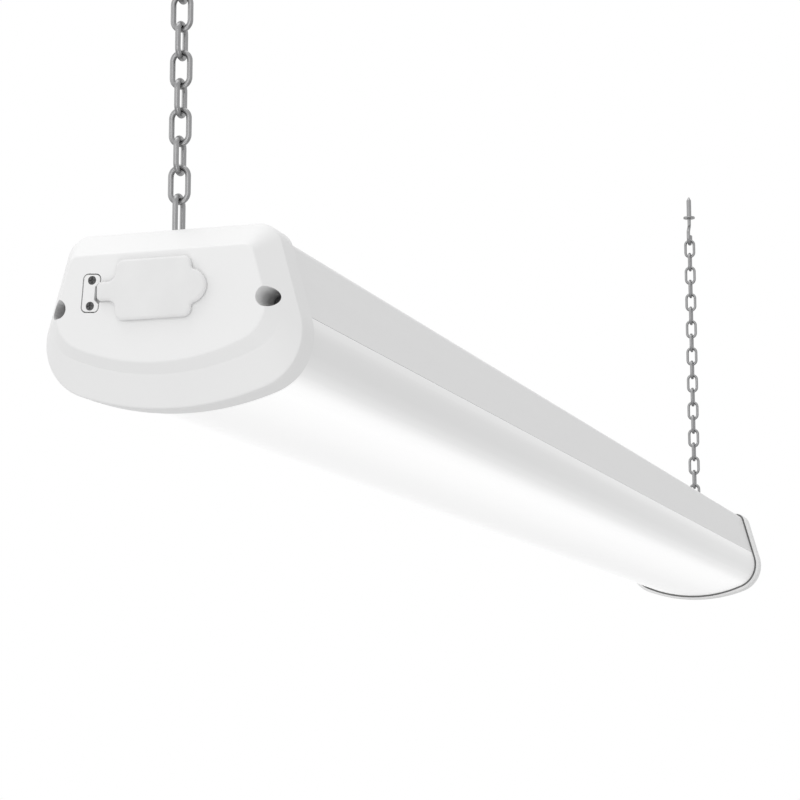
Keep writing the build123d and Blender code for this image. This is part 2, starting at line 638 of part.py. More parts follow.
def receptacle_contacts():
    """Two spring channels for the blades and a sleeve for the ground pin, each with a tail.

    The lower channel's tail rises behind the socket, so that its wire clears the tray.
    """
    contacts = []
    for side in (-1, 1):
        blade_z = OUTLET_Z + side * BLADE_SPACING / 2
        channel = block(CHAMBER_START + 0.1, CHAMBER_END - 0.1, BLADE_Y - CONTACT_LENGTH / 2,
                        BLADE_Y + CONTACT_LENGTH / 2, blade_z - CONTACT_HEIGHT / 2,
                        blade_z + CONTACT_HEIGHT / 2)
        channel -= block(CHAMBER_START - 1, CHAMBER_END - 1.2, BLADE_Y - CONTACT_LENGTH,
                         BLADE_Y + CONTACT_LENGTH, blade_z - 0.9, blade_z + 0.9)
        tail_end = TAIL_END if side > 0 else RISER_X + 1
        tail = block(CHAMBER_END - 0.4, tail_end, BLADE_Y - 1.5, BLADE_Y + 1.5, blade_z - 0.5, blade_z + 0.5)
        contact = channel + tail
        if side < 0:
            low, high = BLADE_Y - 1.5, BLADE_Y + 1.5
            contact += block(RISER_X, RISER_X + 1, low, high, blade_z - 0.5, OUTLET_Z + 0.5)
            contact += block(RISER_X, TAIL_END, low, high, OUTLET_Z - 0.5, OUTLET_Z + 0.5)
        contacts.append(contact)
    sleeve = rod_x(CHAMBER_START + 0.1, CHAMBER_END - 0.1, GROUND_Y, OUTLET_Z, 3.5)
    sleeve -= rod_x(CHAMBER_START - 1, CHAMBER_END - 1.2, GROUND_Y, OUTLET_Z, 2.6)
    tail = block(CHAMBER_END - 0.4, TAIL_END, GROUND_Y - 1.5, GROUND_Y + 1.5, OUTLET_Z - 0.5, OUTLET_Z + 0.5)
    contacts.append(sleeve + tail)
    return contacts


def round_inner_corners(outline, side_y, radius):
    """Round the two inner corners where a tab or strap leaves the cover's side at Y = side_y."""
    straight = COVER_HEIGHT / 2 - COVER_CORNER - 0.1
    corners = [corner for corner in outline.vertices()
               if abs(corner.X - side_y) < 0.01 and abs(corner.Y - OUTLET_Z) < straight]
    return fillet(corners, radius)


def outlet_cover():
    """The soft flap over the receptacle: hollow behind, pull tab on one side, strap on the other."""
    panel = Pos(OUTLET_Y, OUTLET_Z) * RectangleRounded(COVER_WIDTH, COVER_HEIGHT, COVER_CORNER)
    tab_side = OUTLET_Y - COVER_WIDTH / 2
    tab = Pos(tab_side - TAB_REACH + TAB_RADIUS, OUTLET_Z) * Circle(TAB_RADIUS)
    flap_outline = round_inner_corners(panel + tab, tab_side, TAB_ROUND)
    strap_side = OUTLET_Y + COVER_WIDTH / 2
    neck_length = COVER_HINGE_Y - strap_side
    neck = Pos(COVER_HINGE_Y - neck_length, OUTLET_Z) * Rectangle(2 * neck_length, STRAP_WIDTH)
    front_outline = round_inner_corners(flap_outline + neck, strap_side, STRAP_ROUND)
    flap = slab_x(front_outline, COVER_FRONT_X, STRAP_BACK_X)
    rim = [edge for edge in flap.edges()
           if abs(edge.center().X - COVER_FRONT_X) < 0.01 and edge.center().Y < COVER_HINGE_Y - 0.01]
    flap = fillet(rim, COVER_EDGE)
    flap += slab_x(flap_outline, STRAP_BACK_X, COVER_BACK_X)
    knuckle = rod_z(COVER_HINGE_X, COVER_HINGE_Y, OUTLET_Z - STRAP_WIDTH / 2, OUTLET_Z + STRAP_WIDTH / 2,
                    STRAP_THICKNESS / 2)
    flap += fillet(knuckle.edges().filter_by(GeomType.CIRCLE), COVER_EDGE)
    pocket = Pos(OUTLET_Y, OUTLET_Z) * RectangleRounded(APERTURE_WIDTH + 1.6, APERTURE_HEIGHT + 1.6, 2.7)
    return flap - slab_x(pocket, FACE_X - RECEPTACLE_FLANGE - 0.3, FACE_X + 1)


def cover_strap():
    """The strap's fixed end: level with the cover, then down into the pocket and under the plate."""
    start = COVER_HINGE_Y + STRAP_THICKNESS / 2 + 0.3
    top = slab_x(strap_end_sketch(start), COVER_FRONT_X, STRAP_BACK_X)
    lead_edge = top.edges().filter_by(Axis.Z).group_by(Axis.Y)[0].sort_by(Axis.X)[0]
    top = chamfer(lead_edge, STRAP_THICKNESS / 2)
    far_edge = top.edges().filter_by(Axis.Z).group_by(Axis.Y)[-1].sort_by(Axis.X)[0]
    top = fillet(far_edge, STRAP_THICKNESS - 0.4)
    tongue_x = FACE_X + ANCHOR_WALL
    drop = slab_x(strap_end_sketch(STRAP_DROP_Y), STRAP_BACK_X - 0.2, tongue_x + STRAP_THICKNESS)
    foot = block(tongue_x, tongue_x + STRAP_THICKNESS, STRAP_DROP_Y, ANCHOR_NOTCH_Y + 1,
                 OUTLET_Z - STRAP_WIDTH / 2, OUTLET_Z + STRAP_WIDTH / 2)
    tongue = slab_x(anchor_plate_sketch(), tongue_x, tongue_x + STRAP_THICKNESS)
    strap = top + drop + foot + tongue
    for y, z in anchor_screw_places():
        strap -= rod_x(FACE_X, ANCHOR_FLOOR_X, y, z, 1.1)
    return strap


def cover_anchor_plate():
    """The plate that clamps the strap, level with the cap's face."""
    plate = slab_x(anchor_plate_sketch(), FACE_X, FACE_X + ANCHOR_WALL)
    for y, z in anchor_screw_places():
        plate -= rod_x(FACE_X - 1, FACE_X + 1.0, y, z, 1.8)
        plate -= rod_x(FACE_X, FACE_X + 3, y, z, 1.1)
    return plate


def cover_anchor_screws():
    """Two small screws whose heads sit in the plate."""
    screws = []
    for y, z in anchor_screw_places():
        head = rod_x(FACE_X + 0.1, FACE_X + 1.0, y, z, 1.7)
        head -= Pos(FACE_X + 0.2, y, z) * Box(0.8, 0.5, 2.4)
        head -= Pos(FACE_X + 0.2, y, z) * Box(0.8, 2.4, 0.5)
        screws.append(head + rod_x(FACE_X + 0.7, ANCHOR_FLOOR_X + 4, y, z, 0.9))
    return screws


# Cord end details
def cord_gland():
    """A bushing through the far cap; the supply cord passes through its bore."""
    flange = rod_x(FACE_X - GLAND_FLANGE_WALL, FACE_X, 0, OUTLET_Z, GLAND_FLANGE)
    barrel = rod_x(FACE_X, FACE_X - GLAND_FLANGE_WALL + GLAND_LENGTH, 0, OUTLET_Z, GLAND_BARREL)
    bore = rod_x(FACE_X - GLAND_LENGTH, FACE_X + GLAND_LENGTH, 0, OUTLET_Z, GLAND_BORE)
    flange = chamfer(flange.edges().group_by(Axis.X)[0], 1.0)
    return other_end(flange + barrel - bore)


def gland_nut():
    """The hexagon nut that holds the gland from inside the cap."""
    x0 = FACE_X + FACE_WALL
    nut = slab_x(Pos(0, OUTLET_Z) * RegularPolygon(GLAND_BARREL + 4, 6), x0, x0 + 4)
    return other_end(nut - rod_x(x0 - 1, x0 + 5, 0, OUTLET_Z, GLAND_BARREL + 0.05))


# Light engine
def board_span():
    """X of the two ends of the board on the outlet half."""
    return -BODY_LENGTH / 2 + BOARD_END_MARGIN, -BOARD_GAP / 2


def led_boards(row):
    """The two boards of one row, with their screw holes."""
    x0, x1 = board_span()
    y = row * BOARD_ROW_Y
    board = block(x0, x1, y - BOARD_WIDTH / 2, y + BOARD_WIDTH / 2, TRAY_UNDER - BOARD_WALL, TRAY_UNDER)
    for x in board_screw_places():
        board -= rod_z(x, y, TRAY_UNDER - 5, TRAY_UNDER + 5, 1.4)
    return [board, mirror(board, about=Plane.YZ)]


def led_chips(row):
    """Every light-emitting chip of one row."""
    y = row * BOARD_ROW_Y
    chips = []
    for end in (1, -1):
        for x in chip_places():
            chips.append(block(end * x - CHIP_WIDTH / 2, end * x + CHIP_WIDTH / 2, y - CHIP_LENGTH / 2,
                               y + CHIP_LENGTH / 2, CHIP_Z, CHIP_Z + CHIP_HEIGHT))
    return chips


def led_board_screws():
    """Pan-head screws, heads down, that hold the boards to the tray."""
    under = TRAY_UNDER - BOARD_WALL
    screws = []
    for end in (-1, 1):
        for row in (-1, 1):
            for x in board_screw_places():
                head = rod_z(end * x, row * BOARD_ROW_Y, under - 1.8, under, 2.6)
                screws.append(head + rod_z(end * x, row * BOARD_ROW_Y, under, TRAY_TOP - 0.1, 1.2))
    return screws


def board_connectors():
    """Plug housings under the boards: one bridge per row at the middle, one inlet per row."""
    under = TRAY_UNDER - BOARD_WALL
    pieces = []
    for row in (-1, 1):
        y = row * BOARD_ROW_Y
        pieces.append(block(-BOARD_GAP / 2 - 4, BOARD_GAP / 2 + 4, y - 4, y + 4, under - 2.5, under))
        pieces.append(block(GROMMET_X - 5, GROMMET_X + 5, row * (BOARD_ROW_Y - 6),
                            row * BOARD_ROW_Y, under - 3.5, under))
    return pieces


# Sensor on the underside of the tray
SENSOR_WALL = 1.2
SENSOR_UNDER = TRAY_UNDER - SENSOR_WALL


def sensor_board():
    """The sensing board with its plug housing."""
    half = SENSOR_LENGTH / 2
    board = block(-half, half, -SENSOR_WIDTH / 2, SENSOR_WIDTH / 2, SENSOR_UNDER, TRAY_UNDER)
    return board + block(half - 6, half, -10, -5, SENSOR_UNDER - 3, SENSOR_UNDER)


def sensor_shield():
    """The metal can over the motion sensor."""
    can = block(-18, -2, -7, 7, SENSOR_UNDER - 3.5, SENSOR_UNDER)
    return can - block(-17.6, -2.4, -6.6, 6.6, SENSOR_UNDER - 3.1, SENSOR_UNDER + 1)


def infrared_receiver():
    """The small dark receiver with a domed front."""
    body = block(4, 10, 1, 7, SENSOR_UNDER - 3, SENSOR_UNDER)
    return body + (Pos(7, 4, SENSOR_UNDER - 3) * Sphere(2.2))


def daylight_sensor():
    """The round light sensor."""
    return rod_z(17, 4, SENSOR_UNDER - 2.5, SENSOR_UNDER, 2.5) + Pos(17, 4, SENSOR_UNDER - 2.5) * Sphere(2.0)


# Driver
DRIVER_END = DRIVER_START + DRIVER_LENGTH
DRIVER_Y1 = DRIVER_Y + DRIVER_WIDTH
DRIVER_TOP = TRAY_TOP + DRIVER_HEIGHT
DRIVER_BOARD_Z = TRAY_TOP + DRIVER_WALL + 3.0
LEAD_A_Y = DRIVER_Y + 12
LEAD_B_Y = DRIVER_Y + 24
LEAD_A_Z = TRAY_TOP + 7.5
LEAD_B_Z = TRAY_TOP + 11.5
SUPPLY_Z = TRAY_TOP + 7.5


def driver_case():
    """The open box of the driver, with feet, board rails and wire holes."""
    wall = DRIVER_WALL
    case = block(DRIVER_START, DRIVER_END, DRIVER_Y, DRIVER_Y1, TRAY_TOP, DRIVER_TOP - 1)
    case -= block(DRIVER_START + wall, DRIVER_END - wall, DRIVER_Y + wall, DRIVER_Y1 - wall,
                  TRAY_TOP + wall, DRIVER_TOP + 1)
    for y in (DRIVER_Y + wall, DRIVER_Y1 - wall - 3):
        case += block(DRIVER_START + wall, DRIVER_END - wall, y, y + 3, TRAY_TOP + wall, DRIVER_BOARD_Z)
    middle = DRIVER_Y + DRIVER_WIDTH / 2
    case += block(DRIVER_START - 8, DRIVER_START, middle - 8, middle + 8, TRAY_TOP, TRAY_TOP + wall)
    case += block(DRIVER_END, DRIVER_END + 8, middle - 8, middle + 8, TRAY_TOP, TRAY_TOP + wall)
    for x in driver_screw_places():
        case -= rod_z(x, middle, TRAY_TOP - 1, TRAY_TOP + 5, 1.4)
    hole = WIRE_RADIUS + 0.2
    case -= rod_x(DRIVER_START - 1, DRIVER_START + wall + 1, LEAD_A_Y, LEAD_A_Z, hole)
    case -= rod_x(DRIVER_START - 1, DRIVER_START + wall + 1, LEAD_B_Y, LEAD_B_Z, hole)
    case -= rod_x(DRIVER_END - wall - 1, DRIVER_END + 1, LEAD_A_Y, SUPPLY_Z, hole)
    case -= rod_x(DRIVER_END - wall - 1, DRIVER_END + 1, LEAD_B_Y, SUPPLY_Z, hole)
    sensor_hole = Pos(SENSOR_GROMMET[0], DRIVER_Y, LEAD_A_Z) * Rot(90, 0, 0) * Cylinder(hole, 6)
    return case - sensor_hole


def driver_lid():
    """The flat lid of the driver, with lips that drop inside the walls."""
    wall = DRIVER_WALL
    lid = block(DRIVER_START, DRIVER_END, DRIVER_Y, DRIVER_Y1, DRIVER_TOP - 1, DRIVER_TOP)
    for y in (DRIVER_Y + wall + 0.1, DRIVER_Y1 - wall - 1.1):
        lid += block(DRIVER_START + 10, DRIVER_END - 10, y, y + 1, DRIVER_TOP - 4, DRIVER_TOP - 1)
    return lid


def driver_screws():
    """Two screws through the driver's feet."""
    middle = DRIVER_Y + DRIVER_WIDTH / 2
    top = TRAY_TOP + DRIVER_WALL + 2
    return [screw_down(x, middle, top, 2.7, 2.0, 1.2, TRAY_UNDER + 0.1) for x in driver_screw_places()]


def driver_board():
    """The driver's circuit board on its rails."""
    gap = DRIVER_WALL + 0.3
    return block(DRIVER_START + gap + 4, DRIVER_END - gap - 4, DRIVER_Y + gap, DRIVER_Y1 - gap,
                 DRIVER_BOARD_Z, DRIVER_BOARD_Z + 1.6)


def driver_transformer():
    """A wound core: two end cheeks and the winding between them."""
    x = DRIVER_START + DRIVER_LENGTH * 0.45
    y = DRIVER_Y + DRIVER_WIDTH / 2
    z = DRIVER_BOARD_Z + 1.6
    core = rod_z(x, y, z, z + 14, 8)
    for low in (z, z + 11):
        core += block(x - 15, x + 15, y - 11, y + 11, low, low + 3)
    for side in (-1, 1):
        core += block(x + side * 11, x + side * 15, y - 6, y + 6, z, z + 14)
    return core


def driver_capacitors():
    """Three round capacitors standing on the board."""
    z = DRIVER_BOARD_Z + 1.6
    y = DRIVER_Y + DRIVER_WIDTH / 2
    cans = []
    for step in range(3):
        x = DRIVER_START + DRIVER_LENGTH * 0.7 + step * 16
        cans.append(rod_z(x, y, z, z + 14, 6))
    return cans


# Terminal block and wires
TERMINAL_LENGTH = 26.0
TERMINAL_POLE = 10.0
TERMINAL_HEIGHT = 15.0
TERMINAL_UPPER = TRAY_TOP + 9.0
TERMINAL_LOWER = TRAY_TOP + 4.0
POLE_OFFSETS = (-1, 0, 1)
LIVE_LANE = LANE_CLEARANCE - SHELF_REACH
NEUTRAL_LANE = LIVE_LANE + LANE_PITCH
GROUND_LANE = NEUTRAL_LANE + LANE_PITCH
LANE_Z = TRAY_TOP + WIRE_RADIUS + 0.1
LANE_END = TERMINAL_X - WIRE_STRAIGHT - WIRE_SIDESTEP - WIRE_DROP
LANE_START = TAIL_END + TAIL_STRAIGHT + WIRE_SIDESTEP + WIRE_DROP


def terminal_block():
    """A three-pole block: wires of the bar on one side, the cord's conductors on the other."""
    half = TERMINAL_POLE * 1.5
    body = block(TERMINAL_X, TERMINAL_X + TERMINAL_LENGTH, -half, half, TRAY_TOP, TRAY_TOP + TERMINAL_HEIGHT)
    hole = WIRE_RADIUS + 0.2
    for offset in POLE_OFFSETS:
        y = offset * TERMINAL_POLE
        body -= rod_x(TERMINAL_X - 1, TERMINAL_X + 9, y, TERMINAL_UPPER, hole)
        body -= rod_x(TERMINAL_X - 1, TERMINAL_X + 9, y, TERMINAL_LOWER, hole)
        cord_side = TERMINAL_X + TERMINAL_LENGTH
        body -= rod_x(cord_side - 9, cord_side + 1, y, TERMINAL_UPPER, 2.2)
        for x in (TERMINAL_X + 5, cord_side - 5):
            body -= rod_z(x, y, TERMINAL_UPPER + 2.4, TRAY_TOP + TERMINAL_HEIGHT + 1, 2.4)
    return body


def terminal_screws():
    """One clamp screw per wire, sunk in the top of the block."""
    screws = []
    for offset in POLE_OFFSETS:
        for x in (TERMINAL_X + 5, TERMINAL_X + TERMINAL_LENGTH - 5):
            screw = rod_z(x, offset * TERMINAL_POLE, TERMINAL_UPPER + 2.5, TERMINAL_UPPER + 5.0, 2.2)
            slot_z = TERMINAL_UPPER + 5.0
            screws.append(screw - Pos(x, offset * TERMINAL_POLE, slot_z) * Box(0.6, 5, 1.4))
    return screws


def through_wire(pole, lane, tail_y, tail_z):
    """A mains wire from the terminal block along its lane to one tail of the receptacle."""
    y0 = pole * TERMINAL_POLE
    points = [
        (TERMINAL_X + WIRE_ENTRY, y0, TERMINAL_UPPER),
        (TERMINAL_X - WIRE_STRAIGHT, y0, TERMINAL_UPPER),
        (LANE_END + WIRE_DROP, lane, TERMINAL_UPPER),
        (LANE_END, lane, LANE_Z),
        (LANE_START, lane, LANE_Z),
        (LANE_START - WIRE_DROP, lane, tail_z),
        (TAIL_END + TAIL_STRAIGHT, tail_y, tail_z),
        (TAIL_END, tail_y, tail_z),
    ]
    return wire_run(points, WIRE_RADIUS)


def wire_clips():
    """Small saddles that hold the three wires down on the tray."""
    clips = []
    outer_low = LIVE_LANE - WIRE_RADIUS - 2.4
    outer_high = GROUND_LANE + WIRE_RADIUS + 2.4
    top = LANE_Z + WIRE_RADIUS
    half = CLIP_WIDTH / 2
    for step in range(CLIP_COUNT):
        x = LANE_START + (LANE_END - LANE_START) * (step + 0.5) / CLIP_COUNT
        clip = block(x - half, x + half, outer_low, outer_high, TRAY_TOP, top + 1.3)
        clip -= block(x - CLIP_WIDTH, x + CLIP_WIDTH, outer_low + 2, outer_high - 2, TRAY_TOP - 1, top + 0.2)
        clips.append(clip)
    return clips


def driver_supply_leads():
    """The live and neutral leads from the terminal block to the driver."""
    leads = []
    for pole, y in ((-1, LEAD_A_Y), (0, LEAD_B_Y)):
        points = [
            (TERMINAL_X + WIRE_ENTRY, pole * TERMINAL_POLE, TERMINAL_LOWER),
            (TERMINAL_X - SUPPLY_STRAIGHT, pole * TERMINAL_POLE, TERMINAL_LOWER),
            (DRIVER_END + SUPPLY_REACH, y, SUPPLY_Z),
            (DRIVER_END - 2, y, SUPPLY_Z),
        ]
        leads.append(wire_run(points, WIRE_RADIUS))
    return leads


LUG_WALL = 0.8


def bond_wire():
    """The short bonding wire from the ground pole to the tray."""
    x, y = BOND_PLACE
    points = [
        (TERMINAL_X + WIRE_ENTRY, TERMINAL_POLE, TERMINAL_LOWER),
        (TERMINAL_X - BOND_SETBACK / 2, TERMINAL_POLE, TERMINAL_LOWER),
        (x, TERMINAL_POLE + 2, TRAY_TOP + LUG_WALL + WIRE_RADIUS + 0.1),
        (x, y - 4, TRAY_TOP + LUG_WALL + WIRE_RADIUS + 0.1),
    ]
    return wire_run(points, WIRE_RADIUS, 5)


def bond_screw():
    """The bonding screw with its ring lug."""
    x, y = BOND_PLACE
    top = TRAY_TOP + LUG_WALL + 2.2
    return screw_down(x, y, top, 2.9, 2.2, 1.5, TRAY_UNDER + 0.1)


def bond_lug():
    """The ring lug under the bonding screw, with a tongue that carries the wire."""
    x, y = BOND_PLACE
    lug = rod_z(x, y, TRAY_TOP, TRAY_TOP + LUG_WALL, 3.6)
    lug += block(x - 1.8, x + 1.8, y - 12, y, TRAY_TOP, TRAY_TOP + LUG_WALL)
    return lug - rod_z(x, y, TRAY_TOP - 1, TRAY_TOP + 2, 1.6)


LEAD_RADIUS = 1.3
LEAD_LOW_Z = TRAY_UNDER - BOARD_WALL - 1.8
LEAD_SPLIT = 1.7


def led_leads():
    """Two leads from the driver, down through the grommet, one to each row of boards."""
    leads = []
    for side, y, z in ((1, LEAD_A_Y, LEAD_A_Z), (-1, LEAD_B_Y, LEAD_B_Z)):
        x = GROMMET_X + side * LEAD_SPLIT
        points = [
            (DRIVER_START + 1.5, y, z),
            (x, y, z),
            (x, 0, z),
            (x, 0, LEAD_LOW_Z),
            (x, side * (BOARD_ROW_Y - 6), LEAD_LOW_Z),
        ]
        leads.append(wire_run(points, LEAD_RADIUS, 4.0))
    return leads


def sensor_lead():
    """The sensor's lead, up through its own grommet and into the side of the driver."""
    x, y = SENSOR_GROMMET
    points = [
        (SENSOR_LENGTH / 2, y, SENSOR_UNDER - 1.7),
        (x, y, SENSOR_UNDER - 1.7),
        (x, y, LEAD_A_Z),
        (x, DRIVER_Y + DRIVER_WALL, LEAD_A_Z),
    ]
    return wire_run(points, LEAD_RADIUS, 2.0)


def tray_grommets():
    """Rubber rings that line the two wire holes of the tray."""
    rings = []
    lead_bore = LEAD_SPLIT + LEAD_RADIUS + 0.3
    sensor_bore = LEAD_RADIUS + 0.2
    for (x, y), hole, bore in ((LEAD_GROMMET, LEAD_GROMMET_HOLE, lead_bore),
                               (SENSOR_GROMMET, SENSOR_GROMMET_HOLE, sensor_bore)):
        ring = rod_z(x, y, TRAY_UNDER - 0.8, TRAY_TOP + 0.8, hole + 1)
        groove = rod_z(x, y, TRAY_UNDER, TRAY_TOP, hole + 2)
        groove -= rod_z(x, y, TRAY_UNDER - 1, TRAY_TOP + 1, hole - 0.05)
        rings.append(ring - groove - rod_z(x, y, TRAY_UNDER - 2, TRAY_TOP + 2, bore))
    return rings


# Save every node
os.makedirs("parts", exist_ok=True)

hook = Pos(LOOP_X, 0, 0) * ceiling_hook()
save("near_ceiling_hook", hook)
save("far_ceiling_hook", other_end(hook))

links = []
for step in range(LINK_COUNT):
    link = chain_link(FIRST_LINK_Z + step * LINK_PITCH, turned=step % 2 == 1)
    links.append(Pos(LOOP_X, 0, 0) * link)
for end_name, end_links in (("near", links), ("far", [other_end(link) for link in links])):
    save(f"{end_name}_bottom_link", end_links[0])
    save(f"{end_name}_chain", *end_links[1:-1])
    save(f"{end_name}_top_link", end_links[-1])

save("near_hanger_loop", hanger_loop())
save("far_hanger_loop", other_end(hanger_loop()))
save("near_hanger_plate", hanger_plate())
save("far_hanger_plate", other_end(hanger_plate()))
save("near_hanger_nuts", *hanger_nuts())
save("far_hanger_nuts", *[other_end(nut) for nut in hanger_nuts()])

save("housing_channel", housing_channel())
save("diffuser_lens", diffuser_lens())
save("gear_tray", gear_tray())
save("outlet_end_cap", outlet_end_cap())
save("cord_end_cap", cord_end_cap())
save("outlet_end_seal", cap_seal())
save("cord_end_seal", other_end(cap_seal()))
save("outlet_cap_screws", *cap_screws())
save("cord_cap_screws", *[other_end(screw) for screw in cap_screws()])

save("link_receptacle", link_receptacle())
save("receptacle_contacts", *receptacle_contacts())
save("outlet_cover", outlet_cover())
save("cover_strap", cover_strap())
save("cover_anchor_plate", cover_anchor_plate())
save("cover_anchor_screws", *cover_anchor_screws())
save("cord_gland", cord_gland())
save("gland_nut", gland_nut())

save("front_led_boards", *led_boards(-1))
save("rear_led_boards", *led_boards(1))
save("front_led_chips", *led_chips(-1))
save("rear_led_chips", *led_chips(1))
save("led_board_screws", *led_board_screws())
save("board_connectors", *board_connectors())
save("sensor_board", sensor_board())
save("sensor_shield", sensor_shield())
save("infrared_receiver", infrared_receiver())
save("daylight_sensor", daylight_sensor())
save("sensor_lead", sensor_lead())

save("driver_case", driver_case())
save("driver_lid", driver_lid())
save("driver_screws", *driver_screws())
save("driver_board", driver_board())
save("driver_transformer", driver_transformer())
save("driver_capacitors", *driver_capacitors())
save("terminal_block", terminal_block())
save("terminal_screws", *terminal_screws())

save("live_wire", through_wire(-1, LIVE_LANE, BLADE_Y, OUTLET_Z + BLADE_SPACING / 2))
save("neutral_wire", through_wire(0, NEUTRAL_LANE, BLADE_Y, OUTLET_Z))
save("ground_wire", through_wire(1, GROUND_LANE, GROUND_Y, OUTLET_Z))
save("wire_clips", *wire_clips())
save("driver_supply_leads", *driver_supply_leads())
save("bond_wire", bond_wire())
save("bond_screw", bond_screw())
save("bond_lug", bond_lug())
save("led_leads", *led_leads())
save("tray_grommets", *tray_grommets())
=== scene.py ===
import json
import math

import bmesh
import bpy
from mathutils import Matrix, Vector


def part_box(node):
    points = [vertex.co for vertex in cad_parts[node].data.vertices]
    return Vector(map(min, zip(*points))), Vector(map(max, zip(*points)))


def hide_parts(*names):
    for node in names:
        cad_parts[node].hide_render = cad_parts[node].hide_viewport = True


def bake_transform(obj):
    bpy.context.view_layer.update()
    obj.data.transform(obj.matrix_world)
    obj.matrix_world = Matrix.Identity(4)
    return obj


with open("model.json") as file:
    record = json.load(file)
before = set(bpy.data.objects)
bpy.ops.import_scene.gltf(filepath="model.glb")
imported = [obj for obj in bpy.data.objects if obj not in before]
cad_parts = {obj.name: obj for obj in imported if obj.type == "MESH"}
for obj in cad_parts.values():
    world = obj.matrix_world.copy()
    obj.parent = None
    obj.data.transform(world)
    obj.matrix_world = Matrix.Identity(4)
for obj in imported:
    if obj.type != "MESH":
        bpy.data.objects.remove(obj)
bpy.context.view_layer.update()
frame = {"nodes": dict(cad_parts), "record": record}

nodes = frame["nodes"]
MM = 0.001

# Camera, from the outlines in the photograph: metres, radians, and the lens in millimetres
CAMERA_PLACE = Vector((-1.3788, -0.3577, -0.4735))
CAMERA_YAW = 0.3121
CAMERA_PITCH = 0.1576
CAMERA_LENS = 102.4
CAMERA_REACH = 100

# Stage: floor in metres, brightness of the world, and each lamp's place, aim, size and power
FLOOR_HEIGHT = -4.5
FLOOR_SIZE = 30.0
WORLD_LEVEL = 0.745
LAMPS = {
    "overhead": ((-0.5, 0.4, 2.0), (-0.2, 0, -0.3), 2.4, 25.8),
    "left": ((-1.6, 2.6, 0.5), (-0.3, 0, -0.3), 1.8, 9),
    "front": ((-3.4, -0.2, 0.0), (-0.5, 0, -0.3), 1.8, 14.2),
    "low": ((-2.4, -0.7, -2.1), (-0.5, 0, -0.3), 1.2, 11.6),
}

# Outlet cover and its strap, in millimetres
COVER_WIDTH = 32.3
COVER_HEIGHT = 24.3
COVER_THICKNESS = 2.5
COVER_CORNER = 3.5
COVER_EDGE = 1.3
COVER_BACK_EDGE = 0.95
COVER_POCKET = 1.1
COVER_RIM = 1.4
TAB_REACH = 6.3
TAB_RADIUS = 6.8
TAB_ROUND = 1.6
STRAP_WIDTH = 7.6
STRAP_THICKNESS = 1.5
STRAP_ROUND = 3.4
STRAP_REACH = 7.9
STRAP_END_CUT = 1.3
STRAP_HEM = 1.5
STRAP_DEPTH = 4.2

# Where the strap's folds begin, from the cover's side, in millimetres
FOLD_START = 0.3

# How finely the cover is drawn
CORNER_STEPS = 8
EDGE_STEPS = 5
BACK_EDGE_STEPS = 3
STRAP_FOLDS = 12

# Angles between the cover's faces, in radians: where an edge shows, and where it is a corner
SMOOTH_ANGLE = math.radians(35)
CORNER_ANGLE = 1.0

# Tolerances on the cover, in millimetres
SAME_PLANE = 1e-4
SAME_POINT = 0.01

# Specular levels: fine-textured surfaces reflect less than smooth ones
MATT = 0.1
GLOSSY = 0.5

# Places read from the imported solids
LENS_LOW, LENS_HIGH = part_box("diffuser_lens")


class Socket:
    """A shader value that takes part in Python arithmetic."""

    def __init__(self, finish, output):
        self.finish = finish
        self.output = output

    def _math(self, operation, first, second):
        return self.finish.node("ShaderNodeMath", {"operation": operation}, {0: first, 1: second})

    def __add__(self, other):
        return self._math("ADD", self, other)

    def __radd__(self, other):
        return self._math("ADD", other, self)

    def __sub__(self, other):
        return self._math("SUBTRACT", self, other)

    def __rsub__(self, other):
        return self._math("SUBTRACT", other, self)

    def __mul__(self, other):
        return self._math("MULTIPLY", self, other)

    def __rmul__(self, other):
        return self._math("MULTIPLY", other, self)

    def __truediv__(self, other):
        return self._math("DIVIDE", self, other)

    def __rtruediv__(self, other):
        return self._math("DIVIDE", other, self)


